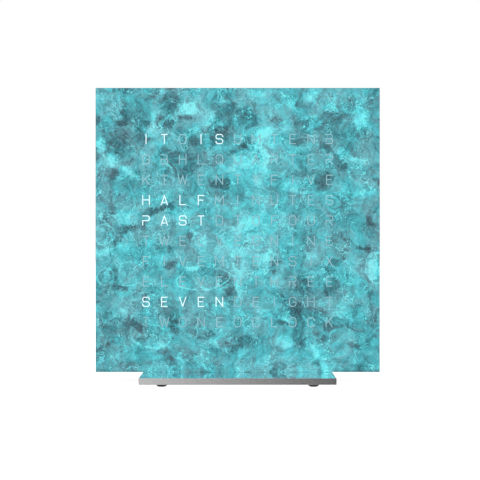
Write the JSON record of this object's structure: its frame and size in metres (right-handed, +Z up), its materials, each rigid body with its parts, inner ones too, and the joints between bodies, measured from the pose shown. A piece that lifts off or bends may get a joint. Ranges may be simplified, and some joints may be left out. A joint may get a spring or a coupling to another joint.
{
  "type": "word clock",
  "caption": "Square table clock that spells the time in lit cut-out letters: a removable metal cover over a slim case, on a polished steel foot plate.",
  "frame": {"origin": "on the table, below the middle of the foot plate", "axes": "+Z up, the letters face -Y, +X to the right as they are read"},
  "size_m": [0.135, 0.077, 0.1399],
  "materials": {
    "oxidised_metal": "oxidised teal patina, satin, speckled",
    "opal_acrylic": "opal, satin",
    "steel_fittings": "plain zinc-plated",
    "magnet_plating": "nickel-plated",
    "case_plastic": "fine spark-eroded texture",
    "black_screws": "black oxide",
    "white_film": "matt diffusing film",
    "grid_plastic": "white moulded",
    "grid_black": "black moulded",
    "circuit_board": "green solder mask",
    "lamp_white": "lamp package",
    "chip_black": "moulded epoxy",
    "cell_steel": "satin",
    "capacitor_can": "bright",
    "pin_metal": "plated",
    "insert_brass": "knurled",
    "pedestal_paint": "black powder coat",
    "polished_steel": "mirror-polished top, satin edges",
    "foot_rubber": "matt black",
    "button_plastic": "satin",
    "plunger_plastic": "moulded"
  },
  "bodies": {
    "clock": {"case_shell": "case_plastic", "cover_magnets": "magnet_plating", "rear_cover": "case_plastic", "rear_screws": "black_screws", "diffuser_film": "white_film", "light_grid": "grid_plastic", "display_board": "circuit_board", "letter_leds": "lamp_white", "light_sensor": "chip_black", "board_screws": "steel_fittings", "microcontroller": "chip_black", "led_drivers": "chip_black", "clock_crystal": "steel_fittings", "alarm_sounder": "chip_black", "cell_holder": "grid_black", "backup_cell": "cell_steel", "cell_clip": "steel_fittings", "voltage_regulator": "chip_black", "supply_capacitor": "capacitor_can", "dc_inlet": "grid_black", "inlet_pin": "pin_metal", "button_switches": "grid_black", "base_inserts": "insert_brass", "pedestal_bar": "pedestal_paint", "base_screws": "steel_fittings", "base_plate": "polished_steel", "rubber_feet": "foot_rubber"},
    "cover": {"front_cover": "oxidised_metal", "letter_lens": "opal_acrylic", "cover_discs": "steel_fittings"},
    "mode_key": {"mode_button": "button_plastic", "mode_plunger": "plunger_plastic"},
    "hour_key": {"hour_button": "button_plastic", "hour_plunger": "plunger_plastic"},
    "minute_key": {"minute_button": "button_plastic", "minute_plunger": "plunger_plastic"}
  },
  "joints": [
    {"name": "cover_lift", "type": "slide", "parent": "clock", "child": "cover", "axis": [0, -1, 0], "range_m": [0, 0.03]},
    {"name": "mode_press", "type": "slide", "parent": "clock", "child": "mode_key", "axis": [0, -1, 0], "range_m": [0, 0.0005], "stiffness_N_per_m": 2000},
    {"name": "hour_press", "type": "slide", "parent": "clock", "child": "hour_key", "axis": [0, -1, 0], "range_m": [0, 0.0005], "stiffness_N_per_m": 2000},
    {"name": "minute_press", "type": "slide", "parent": "clock", "child": "minute_key", "axis": [0, -1, 0], "range_m": [0, 0.0005], "stiffness_N_per_m": 2000}
  ]
}
